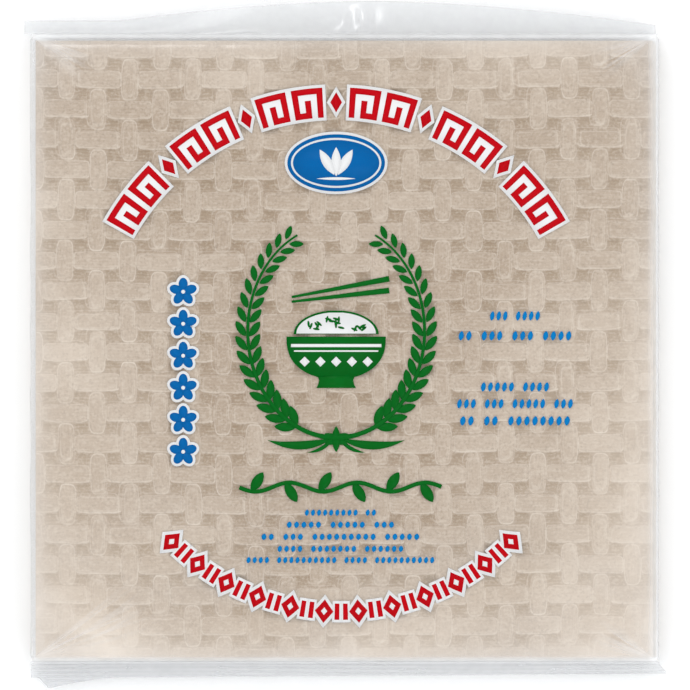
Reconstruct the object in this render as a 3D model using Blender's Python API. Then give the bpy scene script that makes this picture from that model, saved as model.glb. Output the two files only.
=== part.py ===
"""A sealed clear bag of square rice paper wrappers, as one closed solid lying on its back.

The bag is a tube of film drawn round a square stack of sheets. Each end is pressed flat and welded
into a fin at half the stack's height. The fin at +Y stands out and droops towards its corners. The
fin at -Y is folded back under itself, and one of its corners strays out of the fold as an ear.

The solid is lofted through rings that run round the tube, from the tip of one fin to the tip of the
other. Every ring is an upper row, a side wall, a lower row and a side wall, set off both ways from a
centre line that is a function of x.
"""

import math

import bmesh
import bpy

MM = 0.001

# The stack of sheets
SHEET_SIDE = 220 * MM
SHEET_COUNT = 32
SHEET_RISE = 0.54 * MM  # what one embossed sheet adds to the stack's height
FILM_GAP = 0.36 * MM  # between the stack and the film, above and below
CROWN = 0.5 * MM  # how much fuller the middle of the pack is than its rim

# The tube round the stack
HEIGHT = SHEET_COUNT * SHEET_RISE + 2 * FILM_GAP
MID_HEIGHT = HEIGHT / 2
LEFT = -SHEET_SIDE / 2 - 1.6 * MM
RIGHT = SHEET_SIDE / 2 + 2.7 * MM
EDGE_ROUND = 4.4 * MM  # how far in from a side wall the film starts to bend down
SQUARENESS = 0.62  # power on an ellipse's sine and cosine: 1 is an ellipse, and 0 a rectangle
STACK_END = SHEET_SIDE / 2
END_SLACK = 2.1 * MM  # from the stack's end to the root of a fin
FIN_ROOT = STACK_END + END_SLACK
END_ROUND = 4.4 * MM  # how far in from a fin's root the film starts to bend down
TUCK = 3.2 * MM  # how deep the side walls fold in beyond the stack's end

# Both fins
FIN_HALF = 0.4 * MM  # half the thickness of the welded layers, with the air between them

# The fin at +Y: its edge lies highest at the crown and levels out at LEFT_SPAN and RIGHT_SPAN from it
TOP_FIN_LEFT = -SHEET_SIDE / 2 - 3.9 * MM
TOP_FIN_RIGHT = SHEET_SIDE / 2 + 1.6 * MM
CROWN_X = 9.6 * MM
CROWN_EDGE = STACK_END + 13.9 * MM
LEFT_EDGE = STACK_END + 6.8 * MM
RIGHT_EDGE = STACK_END + 5.3 * MM
LEFT_SPAN = 90 * MM
RIGHT_SPAN = TOP_FIN_RIGHT - CROWN_X
EDGE_POWER = 1.65  # 1 gives the edge a pointed roof's shape, and 2 an arch's
CROWN_DROOP = 0.8 * MM
CORNER_DROOP = 5 * MM
DROOP_POWER = 1.6  # 1 lets the fin slope evenly, and 2 lets it bend down
RIPPLE = 0.5 * MM
RIPPLE_LENGTH = 52 * MM

# The fin at -Y, folded under
FOLD_LEFT = LEFT
FOLD_RIGHT = RIGHT + 2.5 * MM
LEFT_FOLD = -STACK_END - 7.8 * MM
RIGHT_FOLD = -STACK_END - 6.3 * MM
FOLD_Z = 4.9 * MM
FOLD_RADIUS = 0.9 * MM
TIP_Y = -FIN_ROOT - 0.8 * MM
TIP_Z = 2.2 * MM
EAR_X = -105.1 * MM
EAR_REACH = 3.9 * MM
EAR_OUTER = 3.6 * MM
EAR_INNER = 30 * MM

# Steps of the mesh
COLUMNS = 36
WALL_STEPS = 8
BODY_STEPS = 8
END_STEPS = 6
TOP_FIN_STEPS = 5
LEG_STEPS = 3
FOLD_STEPS = 4


def blend(first, last, share):
    return first + (last - first) * share


def squared(value):
    """A sine or cosine raised so that the ellipse it draws gets square shoulders."""
    return math.copysign(abs(value) ** SQUARENESS, value)


def column_shares():
    """Shares of the width, closer together towards both side walls."""
    return [(1 - math.cos(math.pi * step / COLUMNS)) / 2 for step in range(COLUMNS + 1)]


def ring(left, right, corner, half, centre, tuck=0.0):
    """One closed loop of points round the tube.

    centre(x) gives the y and z of the centre line and of the unit normal there. The rows lie half off
    it on both sides, and each wall is half a squared ellipse that reaches corner beyond its row.
    """

    def point(x, along_x, offset):
        y, z, normal_y, normal_z = centre(along_x)
        return (x, y + offset * normal_y, z + offset * normal_z)

    def wall(row_end, outwards, angles):
        points = []
        for angle in angles:
            fold = tuck * max(0.0, 1 - abs(angle) / math.radians(60))
            x = row_end + outwards * (corner * squared(math.cos(angle)) - fold)
            points.append(point(x, row_end, half * squared(math.sin(angle))))
        return points

    row = [blend(left + corner, right - corner, share) for share in column_shares()]
    down = [math.pi / 2 - math.pi * step / WALL_STEPS for step in range(1, WALL_STEPS)]
    upper = [point(x, x, half) for x in row]
    lower = [point(x, x, -half) for x in reversed(row)]
    return upper + wall(row[-1], 1, down) + lower + wall(row[0], -1, reversed(down))


def fullness(x, y):
    """Height that the stack's fuller middle adds to the upper film."""
    half_side = SHEET_SIDE / 2
    across = max(0.0, 1 - (x / half_side) ** 2)
    along = max(0.0, 1 - (y / half_side) ** 2)
    return CROWN * across * along


def body_ring(y, half=MID_HEIGHT, tuck=0.0):
    """A ring of the tube at one y. As it closes down to a fin, its corners shrink in step."""
    share = (half - FIN_HALF) / (MID_HEIGHT - FIN_HALF)
    corner = blend(FIN_HALF, EDGE_ROUND, share)
    points = ring(LEFT, RIGHT, corner, half, lambda x: (y, MID_HEIGHT, 0.0, 1.0), tuck)
    return [
        (x, at_y, z + (fullness(x, at_y) if z > MID_HEIGHT else 0.0))
        for x, at_y, z in points
    ]


def end_rings(side):
    """The tube closing down from the full height to the root of a fin, side being +1 or -1."""
    rings = []
    for step in range(END_STEPS + 1):
        angle = math.pi / 2 * (1 - step / END_STEPS)
        y = side * (FIN_ROOT - END_ROUND + END_ROUND * squared(math.cos(angle)))
        half = blend(FIN_HALF, MID_HEIGHT, squared(math.sin(angle)))
        beyond_stack = max(0.0, abs(y) - STACK_END) / END_SLACK
        open_share = min(1.0, (half - FIN_HALF) / MID_HEIGHT * 2)
        rings.append(body_ring(y, half, TUCK * beyond_stack * open_share))
    return rings


def towards_corner(x):
    """0 at the +Y fin's crown and 1 where its outline levels out on either side."""
    span = LEFT_SPAN if x < CROWN_X else RIGHT_SPAN
    return min(1.0, abs(x - CROWN_X) / span) ** EDGE_POWER


def top_fin_path(x):
    """Centre line of the +Y fin over one x, from its root to its tip, as (y, z) points."""
    corner = towards_corner(x)
    edge = blend(CROWN_EDGE, LEFT_EDGE if x < CROWN_X else RIGHT_EDGE, corner)
    droop = blend(CROWN_DROOP, CORNER_DROOP, corner)
    ripple = RIPPLE * math.sin(2 * math.pi * x / RIPPLE_LENGTH)
    path = []
    for step in range(TOP_FIN_STEPS + 1):
        share = step / TOP_FIN_STEPS
        sag = droop * share**DROOP_POWER
        path.append((blend(FIN_ROOT, edge, share), MID_HEIGHT - sag + ripple * share))
    return path


def ear(x):
    """How far the stray corner of the folded fin sticks out: short outside its tip, drawn out inside."""
    if x < EAR_X:
        return EAR_REACH * max(0.0, 1 - (EAR_X - x) / EAR_OUTER)
    return EAR_REACH * max(0.0, 1 - (x - EAR_X) / EAR_INNER) ** 2


def folded_fin_path(x):
    """Centre line of the -Y fin over one x: out and down to the fold, round it, and back under."""
    share = (x - FOLD_LEFT) / (FOLD_RIGHT - FOLD_LEFT)
    turn_y = blend(LEFT_FOLD, RIGHT_FOLD, share) - ear(x) + FOLD_RADIUS
    path = []
    for step in range(LEG_STEPS):
        along = step / LEG_STEPS
        path.append((blend(-FIN_ROOT, turn_y, along), blend(MID_HEIGHT, FOLD_Z + FOLD_RADIUS, along)))
    for step in range(FOLD_STEPS + 1):
        angle = math.pi / 2 + math.pi * step / FOLD_STEPS
        path.append((turn_y + FOLD_RADIUS * math.cos(angle), FOLD_Z + FOLD_RADIUS * math.sin(angle)))
    for step in range(1, LEG_STEPS + 1):
        along = step / LEG_STEPS
        path.append((blend(turn_y, TIP_Y, along), blend(FOLD_Z - FOLD_RADIUS, TIP_Z, along)))
    return path


def fin_ring(path, index, side, left, right):
    """The ring of a fin at one step of its path. side is the fin's direction along Y."""

    def centre(x):
        points = path(x)
        y, z = points[index]
        before, after = points[max(index - 1, 0)], points[min(index + 1, len(points) - 1)]
        along_y, along_z = after[0] - before[0], after[1] - before[1]
        length = math.hypot(along_y, along_z)
        return y, z, -side * along_z / length, side * along_y / length

    return ring(left, right, FIN_HALF, FIN_HALF, centre)


def top_fin_rings():
    return [
        fin_ring(top_fin_path, index, 1, TOP_FIN_LEFT, TOP_FIN_RIGHT)
        for index in range(1, TOP_FIN_STEPS + 1)
    ]


def folded_fin_rings():
    """The rings of the -Y fin, from its root to its tip, flaring out to the right as far as the fold."""
    count = 2 * LEG_STEPS + FOLD_STEPS
    fold_index = LEG_STEPS + FOLD_STEPS / 2
    rings = []
    for index in range(1, count + 1):
        flare = min(1.0, index / fold_index)
        left = blend(LEFT, FOLD_LEFT, flare)
        right = blend(RIGHT, FOLD_RIGHT, flare)
        rings.append(fin_ring(folded_fin_path, index, -1, left, right))
    return rings


def bag_rings():
    """Every ring, from the tip of the folded fin to the tip of the standing one."""
    flat_end = FIN_ROOT - END_ROUND
    body = [
        body_ring(blend(-flat_end, flat_end, step / BODY_STEPS)) for step in range(1, BODY_STEPS)
    ]
    return (
        list(reversed(folded_fin_rings()))
        + list(reversed(end_rings(-1)))
        + body
        + end_rings(1)
        + top_fin_rings()
    )


def cap(mesh, loop):
    """Closes a fin's tip with a strip between its rows and a small face at each wall."""
    row = COLUMNS + 1
    walls = WALL_STEPS - 1
    upper = loop[:row]
    lower = list(reversed(loop[row + walls : 2 * row + walls]))
    for column in range(COLUMNS):
        mesh.faces.new(
            (upper[column], upper[column + 1], lower[column + 1], lower[column])
        )
    mesh.faces.new(loop[row - 1 : row + walls + 1])
    mesh.faces.new([*loop[2 * row + walls - 1 :], loop[0]])


def loft(name, rings):
    """A closed mesh object through the rings, capped at both ends."""
    mesh = bmesh.new()
    loops = [[mesh.verts.new(point) for point in points] for points in rings]
    for near, far in zip(loops, loops[1:]):
        for index in range(len(near)):
            follow = (index + 1) % len(near)
            mesh.faces.new((near[index], near[follow], far[follow], far[index]))
    cap(mesh, loops[0])
    cap(mesh, loops[-1])
    bmesh.ops.recalc_face_normals(mesh, faces=mesh.faces)
    data = bpy.data.meshes.new(name)
    mesh.to_mesh(data)
    mesh.free()
    data.shade_smooth()
    data.set_sharp_from_angle(angle=math.radians(40))
    bag = bpy.data.objects.new(name, data)
    bpy.context.scene.collection.objects.link(bag)
    return bag


def pack_material():
    """The pack as it looks from outside: beige sheets under glossy film."""
    material = bpy.data.materials.new("wrapper_pack")
    material.use_nodes = True
    shader = material.node_tree.nodes["Principled BSDF"]
    shader.inputs["Base Color"].default_value = (0.58, 0.48, 0.37, 1.0)
    shader.inputs["Roughness"].default_value = 0.3
    shader.inputs["Metallic"].default_value = 0.0
    return material


def main():
    for existing in list(bpy.data.objects):
        bpy.data.objects.remove(existing, do_unlink=True)
    bag = loft("wrapper_pack", bag_rings())
    bag.data.materials.append(pack_material())


main()
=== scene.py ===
"""A square pack of rice paper wrappers: a stack of embossed sheets in a shut, clear, printed film bag.

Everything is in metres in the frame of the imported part: the pack lies on its back with the origin in
the middle of its underside, +Z points up out of the printed face and +Y towards the standing fin. The
film repeats the form of the CAD solid with finer steps and adds what only the looks need: waves, folds
at the corners and ribs in the welded fins.
"""

import math

import bpy
import numpy as np
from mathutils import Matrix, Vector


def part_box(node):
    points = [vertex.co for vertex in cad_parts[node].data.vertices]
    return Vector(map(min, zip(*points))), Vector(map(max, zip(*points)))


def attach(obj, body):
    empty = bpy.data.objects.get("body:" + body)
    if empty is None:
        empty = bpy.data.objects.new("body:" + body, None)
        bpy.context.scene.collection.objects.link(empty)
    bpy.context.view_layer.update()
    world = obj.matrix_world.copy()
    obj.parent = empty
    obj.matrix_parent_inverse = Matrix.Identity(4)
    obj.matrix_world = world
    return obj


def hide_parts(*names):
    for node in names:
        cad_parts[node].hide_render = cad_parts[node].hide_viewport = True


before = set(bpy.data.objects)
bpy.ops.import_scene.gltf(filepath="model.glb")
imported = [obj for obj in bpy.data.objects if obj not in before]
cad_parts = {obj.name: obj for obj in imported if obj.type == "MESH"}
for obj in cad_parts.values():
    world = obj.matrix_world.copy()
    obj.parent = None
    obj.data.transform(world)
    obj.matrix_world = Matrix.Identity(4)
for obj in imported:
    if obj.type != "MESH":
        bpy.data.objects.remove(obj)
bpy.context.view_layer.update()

NODE = "wrapper_pack"
LOW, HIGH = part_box(NODE)
MM = 0.001

# The stack of sheets
HALF_SIDE = 110 * MM
SHEET_COUNT = 32
SHEET_RISE = 0.54 * MM
INNER_RISE = 0.515 * MM  # the sheets between the outermost two lie a little closer
SHEET_THICKNESS = 0.3 * MM
FILM_GAP = 0.36 * MM
CROWN = 0.5 * MM  # how much fuller the middle of the pack is than its rim

# The film round it, as in the CAD solid
HEIGHT = SHEET_COUNT * SHEET_RISE + 2 * FILM_GAP
MID_HEIGHT = HEIGHT / 2
LEFT = -HALF_SIDE - 1.6 * MM
RIGHT = HALF_SIDE + 2.7 * MM
EDGE_ROUND = 4.4 * MM
SQUARENESS = 0.62
FIN_ROOT = HALF_SIDE + 2.1 * MM
END_ROUND = 4.4 * MM
TUCK = 3.2 * MM
FIN_HALF = 0.12 * MM
CROWN_X = 9.6 * MM
LEFT_SPAN = 90 * MM
TOP_FIN_LEFT = LOW.x
TOP_FIN_RIGHT = HALF_SIDE + 1.6 * MM
LEFT_EDGE = HALF_SIDE + 6.8 * MM
RIGHT_EDGE = HALF_SIDE + 5.3 * MM
CROWN_EDGE = HALF_SIDE + 13.9 * MM
FOLD_RIGHT = HIGH.x
FOLD_LEFT = LEFT
LEFT_FOLD = -HALF_SIDE - 7.8 * MM
RIGHT_FOLD = -HALF_SIDE - 6.3 * MM
FOLD_Z = 4.9 * MM
FOLD_RADIUS = 0.9 * MM
TIP_Y = -FIN_ROOT - 0.8 * MM
TIP_Z = 2.2 * MM
EAR_X = -105.1 * MM
EAR_REACH = 3.9 * MM

# The mat's weave that the sheets are dried on
STRAND_PITCH_X = 11.18 * MM
STRAND_PITCH_Y = 10.82 * MM
FIRST_STRAND_X = -98.6 * MM
FIRST_STRAND_Y = 95.7 * MM
UPRIGHT_HALF = 0.275  # half widths and half lengths of the visible pads, in strand pitches
UPRIGHT_REACH = 0.70
LEVEL_HALF = 0.295
LEVEL_REACH = 0.725


# ---------------------------------------------------------------- formulas on numbers and on nodes


class Field:
    """A number on a shader node's socket. Sums and products of fields make Math nodes."""

    def __init__(self, tree, socket):
        self.tree = tree
        self.socket = socket

    def math(self, operation, *others, clamp=False):
        node = self.tree.nodes.new("ShaderNodeMath")
        node.operation = operation
        node.use_clamp = clamp
        for slot, value in zip(node.inputs, (self, *others)):
            if isinstance(value, Field):
                self.tree.links.new(value.socket, slot)
            else:
                slot.default_value = value
        return Field(self.tree, node.outputs[0])

    def __add__(self, other):
        return self.math("ADD", other)

    def __mul__(self, other):
        return self.math("MULTIPLY", other)

    def __sub__(self, other):
        return self.math("SUBTRACT", other)

    def __truediv__(self, other):
        return self.math("DIVIDE", other)

    def __pow__(self, other):
        return self.math("POWER", other)

    def __rsub__(self, other):
        return (self * -1.0) + other

    __radd__ = __add__
    __rmul__ = __mul__


class OnArrays:
    """What the weave's formula needs beyond sums and products, for numpy arrays."""

    @staticmethod
    def nearest(value):
        return np.floor(value + 0.5)

    @staticmethod
    def size(value):
        return np.abs(value)

    @staticmethod
    def odd(value):
        return np.mod(value, 2)

    @staticmethod
    def unit(value):
        return np.clip(value, 0, 1)


class OnNodes:
    """The same for fields."""

    @staticmethod
    def nearest(value):
        return value.math("ROUND")

    @staticmethod
    def size(value):
        return value.math("ABSOLUTE")

    @staticmethod
    def odd(value):
        return value.math("FLOORED_MODULO", 2.0)

    @staticmethod
    def unit(value):
        return value.math("ADD", 0.0, clamp=True)


def weave(u, v, kit):
    """The plain weave at u and v, counted in strands: upright ones at whole u, level ones at whole v.

    A strand shows as a pad wherever it lies over. A pad is 1 less a power of the way across it and a
    power of the way along it, so that it is flat in the middle and falls steeply to 0 at its outline.
    Fourth powers give the upright ones round ends, higher ones make the level ones squarer. The third
    number is 1 in the small windows between the strands, the last the way along a level pad.
    """
    column, row = kit.nearest(u), kit.nearest(v)
    across, along = kit.size(u - column), kit.size(v - row)
    under = kit.odd(column + row)
    along_upright = along + under * (1 - 2 * along)
    along_level = (1 - across) - under * (1 - 2 * across)
    upright = 1 - (across / UPRIGHT_HALF) ** 4 - (along_upright / UPRIGHT_REACH) ** 4
    level = 1 - (along / LEVEL_HALF) ** 6 - (along_level / LEVEL_REACH) ** 10
    window_across = kit.unit((across - UPRIGHT_HALF + 0.01) * 16)
    window_along = kit.unit((along - LEVEL_HALF + 0.01) * 16)
    return kit.unit(upright), kit.unit(level), window_across * window_along, along_level


def blend(first, last, share):
    return first + (last - first) * share


def smooth(value):
    """0 below 0, 1 above 1, and a soft S between."""
    value = np.clip(value, 0, 1)
    return value * value * (3 - 2 * value)


def hump(value):
    """A bell: the exponential of minus the square."""
    return np.exp(-value * value)


# ---------------------------------------------------------------- meshes from arrays


def new_piece(name, points, faces, material, angle=40):
    """A mesh object from an array of points and a list of arrays of faces, each array of one face size."""
    mesh = bpy.data.meshes.new(name)
    points = np.asarray(points, np.float32).reshape(-1, 3)
    sizes = np.concatenate([np.full(len(part), part.shape[1]) for part in faces])
    corners = np.concatenate([part.ravel() for part in faces]).astype(np.int32)
    starts = np.concatenate([[0], np.cumsum(sizes)[:-1]]).astype(np.int32)
    mesh.vertices.add(len(points))
    mesh.vertices.foreach_set("co", points.ravel())
    mesh.loops.add(len(corners))
    mesh.loops.foreach_set("vertex_index", corners)
    mesh.polygons.add(len(sizes))
    mesh.polygons.foreach_set("loop_start", starts)
    mesh.update(calc_edges=True)
    mesh.validate()
    mesh.shade_smooth()
    mesh.set_sharp_from_angle(angle=math.radians(angle))
    mesh.materials.append(material)
    piece = bpy.data.objects.new(name, mesh)
    bpy.context.scene.collection.objects.link(piece)
    return piece


def grid_faces(rows, columns, closed=False, start=0):
    """Quads between neighbours of a grid of points, joined round its columns if closed."""
    index = start + np.arange(rows * columns).reshape(rows, columns)
    if closed:
        index = np.hstack([index, index[:, :1]])
    return np.stack([index[:-1, :-1], index[:-1, 1:], index[1:, 1:], index[1:, :-1]], -1).reshape(-1, 4)


def fan_faces(loop, pole, upwards):
    """Triangles from one pole to a closed loop, facing up if the loop runs anticlockwise from above."""
    follow = np.roll(loop, -1)
    ends = (loop, follow) if upwards else (follow, loop)
    return np.stack([*ends, np.full(len(loop), pole)], -1)


def set_numbers(piece, name, values):
    """Stores one number for each vertex, for the material to read."""
    attribute = piece.data.attributes.new(name, "FLOAT", "POINT")
    attribute.data.foreach_set("value", np.asarray(values, np.float32).ravel())


def set_map(piece, name, u, v):
    """Stores two numbers for each vertex as a UV map."""
    mesh = piece.data
    corner = np.empty(len(mesh.loops), np.int32)
    mesh.loops.foreach_get("vertex_index", corner)
    pairs = np.stack([np.ravel(u)[corner], np.ravel(v)[corner]], -1)
    mesh.uv_layers.new(name=name).data.foreach_set("uv", pairs.astype(np.float32).ravel())


# ---------------------------------------------------------------- the film bag


COLUMNS = 190
WALL_STEPS = 13
BODY_ROWS = 132
END_ROWS = 12
TOP_FIN_ROWS = 28
LEG_ROWS = 8
FOLD_ROWS = 8


def squared(value):
    return np.sign(value) * np.abs(value) ** SQUARENESS


def half_ring():
    """The upper half of a ring round the bag, from the middle of the left wall to that of the right.

    Returns where each point's row is across the width, from 0 to 1, how far the wall bulges beyond
    the row, from -1 to 1, and how high it is, from 0 to 1. The walls are quarters of an ellipse whose
    sine and cosine are raised to a power, which squares its shoulders.
    """
    up = np.linspace(0, 1, WALL_STEPS + 1)[:-1] ** 1.5 * np.pi / 2
    even = np.linspace(0, 1, COLUMNS + 1)
    across = 0.6 * even + 0.2 * (1 - np.cos(np.pi * even))
    share = np.concatenate([np.zeros(WALL_STEPS), across, np.ones(WALL_STEPS)])
    row = np.zeros(COLUMNS + 1)
    bulge = np.concatenate([-squared(np.cos(up)), row, squared(np.cos(up[::-1]))])
    level = np.concatenate([squared(np.sin(up)), row + 1, squared(np.sin(up[::-1]))])
    return share, bulge, level


def fullness(x, y):
    """The stack's crown: a parabola across times a parabola along."""
    return CROWN * np.clip(1 - (x / HALF_SIDE) ** 2, 0, 1) * np.clip(1 - (y / HALF_SIDE) ** 2, 0, 1)


def corner_folds(x, y):
    """Folds that fan out from the corners: cosines of the angle round each corner, dying out with the
    way from it and towards both sides of the fan."""
    total = 0
    for side_x, side_y, middle, spread, count, reach, depth in (
        (-1, -1, 27, 17, 5, 30 * MM, 0.5 * MM),
        (-1, 1, -40, 20, 4, 17 * MM, 0.32 * MM),
        (1, -1, 140, 22, 4, 14 * MM, 0.3 * MM),
        (1, 1, 222, 22, 4, 13 * MM, 0.25 * MM),
    ):
        away_x, away_y = x - side_x * (HALF_SIDE + 1 * MM), y - side_y * (HALF_SIDE - 2 * MM)
        turn = np.degrees(np.arctan2(away_y, away_x)) - middle
        turn = np.mod(turn + 180, 360) - 180
        far = np.hypot(away_x, away_y)
        rise = smooth(far / (6 * MM)) * hump(far / reach)
        total = total + depth * rise * hump(turn / spread) * np.cos(np.radians(turn) * 180 / spread * count / 2)
    return total


def waves(x, y):
    """Long shallow waves of slack film: three crossing sines, strongest in the lower half."""
    low = blend(1.0, 0.45, smooth((y + 80 * MM) / (140 * MM)))
    return 0.055 * MM * low * (
        np.sin(x / (7.5 * MM) + 1.4 * np.sin(y / (19 * MM)))
        + np.sin(y / (9.1 * MM) + 1.7 * np.sin(x / (23 * MM)) + 1)
        + 0.8 * np.sin((x + y) / (12.3 * MM) + 2)
    )


def rim_buckles(x, y):
    """Small upright buckles where the film turns over the rim: a sine along the rim, near it only."""
    from_side = np.minimum(x - LEFT, RIGHT - x)
    from_end = FIN_ROOT - np.abs(y)
    beside = hump((from_side - 3 * MM) / (4 * MM))
    behind = hump((from_end - 3 * MM) / (4 * MM))
    along_y = np.sin(y / (2.9 * MM) + 2 * np.sin(y / (17 * MM))) + 0.6 * np.sin(y / (1.7 * MM) + 1)
    along_x = np.sin(x / (3.3 * MM) + 2 * np.sin(x / (21 * MM))) + 0.6 * np.sin(x / (1.9 * MM) + 2)
    return 0.035 * MM * (beside * along_y + behind * along_x)


def face_height(x, y):
    """Height of the upper film over the flat middle of the pack."""
    return HEIGHT + fullness(x, y) + waves(x, y) + corner_folds(x, y) + rim_buckles(x, y)


def tube_rows(y, half, tuck, ring):
    """Upper and lower halves of rings of the tube, at the y, half height and tuck of each row."""
    share, bulge, level = ring
    y, half, tuck = (np.asarray(part)[:, None] for part in (y, half, tuck))
    opened = (half - FIN_HALF) / (MID_HEIGHT - FIN_HALF)
    corner = blend(FIN_HALF, EDGE_ROUND, opened)
    fold = tuck * np.clip(1 - level * 1.2, 0, 1) * np.sign(bulge)
    x = blend(LEFT + corner, RIGHT - corner, share) + bulge * corner - fold
    y = np.broadcast_to(y, x.shape)
    wall_wave = np.abs(bulge) * opened * 0.16 * MM * np.sin(y / (6.5 * MM) + 3 * np.sin(y / (31 * MM)))
    x = x + np.sign(bulge) * wall_wave * (1 - level)
    relief = level * opened * (face_height(x, y) - HEIGHT)
    upper = np.stack([x, y, MID_HEIGHT + level * half + relief], -1)
    lower = np.stack([x, y, MID_HEIGHT - level * half], -1)
    return upper, lower


def end_rows(side, ring):
    """The tube closing from its full height to the root of a fin, side being +1 or -1."""
    angle = np.pi / 2 * (1 - np.linspace(0, 1, END_ROWS + 1) ** 0.8)
    y = side * (FIN_ROOT - END_ROUND + END_ROUND * squared(np.cos(angle)))
    half = blend(FIN_HALF, MID_HEIGHT, squared(np.sin(angle)))
    beyond = np.clip((np.abs(y) - HALF_SIDE) / (FIN_ROOT - HALF_SIDE), 0, 1)
    opened = np.clip((half - FIN_HALF) / MID_HEIGHT * 2, 0, 1)
    return tube_rows(y, half, TUCK * beyond * opened, ring)


def top_fin_path(x, t):
    """y and z of the +Y fin's middle at x, t being 0 at its root and 1 at its edge."""
    right_span = TOP_FIN_RIGHT - CROWN_X
    corner = np.clip(np.abs(x - CROWN_X) / np.where(x < CROWN_X, LEFT_SPAN, right_span), 0, 1) ** 1.65
    edge = blend(CROWN_EDGE, np.where(x < CROWN_X, LEFT_EDGE, RIGHT_EDGE), corner)
    droop = blend(0.8 * MM, 5 * MM, corner)
    ripple = 0.5 * MM * np.sin(2 * np.pi * x / (52 * MM))
    ripple = ripple + 0.1 * MM * np.sin(x / (3.4 * MM) + 2 * np.sin(x / (15 * MM)))
    pinch = 0.2 * MM * hump((x - 3 * MM) / (8 * MM)) * np.sin((x - 5.6 * MM) / (1.25 * MM))
    pinch = pinch * np.sin(np.pi * np.clip(1.25 * t - 0.12, 0, 1))
    return blend(FIN_ROOT, edge, t), MID_HEIGHT - droop * t**1.6 + ripple * t + pinch


def ear(x):
    outside = np.clip(1 - (EAR_X - x) / (3.6 * MM), 0, 1)
    inside = np.clip(1 - (x - EAR_X) / (30 * MM), 0, 1) ** 2
    return EAR_REACH * np.where(x < EAR_X, outside, inside)


def folded_fin_path(x, t):
    """y and z of the -Y fin's middle at x: down to its fold for t to 1, round it to 2, and back to 3."""
    share = (x - FOLD_LEFT) / (FOLD_RIGHT - FOLD_LEFT)
    turn_y = blend(LEFT_FOLD, RIGHT_FOLD, share) - ear(x) + FOLD_RADIUS
    angle = np.pi / 2 + np.pi * np.clip(t - 1, 0, 1)
    out, back = np.clip(t, 0, 1), np.clip(t - 2, 0, 1)
    y = np.where(t < 1, blend(-FIN_ROOT, turn_y, out), turn_y + FOLD_RADIUS * np.cos(angle))
    z = np.where(t < 1, blend(MID_HEIGHT, FOLD_Z + FOLD_RADIUS, out), FOLD_Z + FOLD_RADIUS * np.sin(angle))
    y = np.where(t > 2, blend(turn_y, TIP_Y, back), y)
    z = np.where(t > 2, blend(FOLD_Z - FOLD_RADIUS, TIP_Z, back), z)
    sag = 0.35 * MM * np.sin(x / (13 * MM) + 2 * np.sin(x / (37 * MM))) * np.sin(np.pi * np.clip(t, 0, 1))
    return y, z + sag


def fin_rows(path, t, left, right, side, ring):
    """Both halves of a fin's rings, set off from its middle along the normal of its path."""
    share, bulge, level = ring
    t, left, right = (np.asarray(part)[:, None] for part in (t, left, right))
    along = blend(left + FIN_HALF, right - FIN_HALF, share)
    x = along + bulge * FIN_HALF
    y, z = path(along, t)
    step = 0.01
    (before_y, before_z), (after_y, after_z) = path(along, t - step), path(along, t + step)
    length = np.hypot(after_y - before_y, after_z - before_z)
    normal_y, normal_z = -side * (after_z - before_z) / length, side * (after_y - before_y) / length
    offset = level * FIN_HALF
    return (
        np.stack([x, y + offset * normal_y, z + offset * normal_z], -1),
        np.stack([x, y - offset * normal_y, z - offset * normal_z], -1),
    )


def film_points():
    """Every ring of the bag, from the tip of the folded fin to the edge of the standing one."""
    ring = half_ring()
    fold_t = np.concatenate([
        np.linspace(0, 1, LEG_ROWS + 1)[1:],
        np.linspace(1, 2, FOLD_ROWS + 1)[1:],
        np.linspace(2, 3, LEG_ROWS + 1)[1:],
    ])
    flare = np.clip(fold_t / 1.5, 0, 1) * (1 - np.clip(fold_t - 2, 0, 1))
    folded = fin_rows(
        folded_fin_path, fold_t, blend(LEFT, FOLD_LEFT, flare), blend(RIGHT, FOLD_RIGHT, flare), -1, ring
    )
    top_t = np.linspace(0, 1, TOP_FIN_ROWS + 1)[1:]
    width = np.ones(TOP_FIN_ROWS)
    top = fin_rows(top_fin_path, top_t, width * TOP_FIN_LEFT, width * TOP_FIN_RIGHT, 1, ring)
    flat_end = FIN_ROOT - END_ROUND
    body_y = np.linspace(-flat_end, flat_end, BODY_ROWS + 1)[1:-1]
    body = tube_rows(body_y, np.full(len(body_y), MID_HEIGHT), np.zeros(len(body_y)), ring)
    near, far = end_rows(-1, ring), end_rows(1, ring)
    upper = np.concatenate([folded[0][::-1], near[0][::-1], body[0], far[0], top[0]])
    lower = np.concatenate([folded[1][::-1], near[1][::-1], body[1], far[1], top[1]])
    fin = np.concatenate([
        np.full(len(fold_t), 0.3), np.zeros(2 * (END_ROWS + 1) + len(body_y)), np.ones(TOP_FIN_ROWS)
    ])
    return upper, lower, fin


def tip_faces(first, half, total, forwards):
    """Closes a fin's tip with a ladder between the two halves of its last ring."""
    rung = np.arange(1, half - 1)
    quads = first + np.stack([rung + 1, rung, total - rung, total - rung - 1], -1)
    ends = first + np.array([[1, 0, total - 1], [half + 1, half, half - 1]])
    return (quads[:, ::-1], ends[:, ::-1]) if forwards else (quads, ends)


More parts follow.
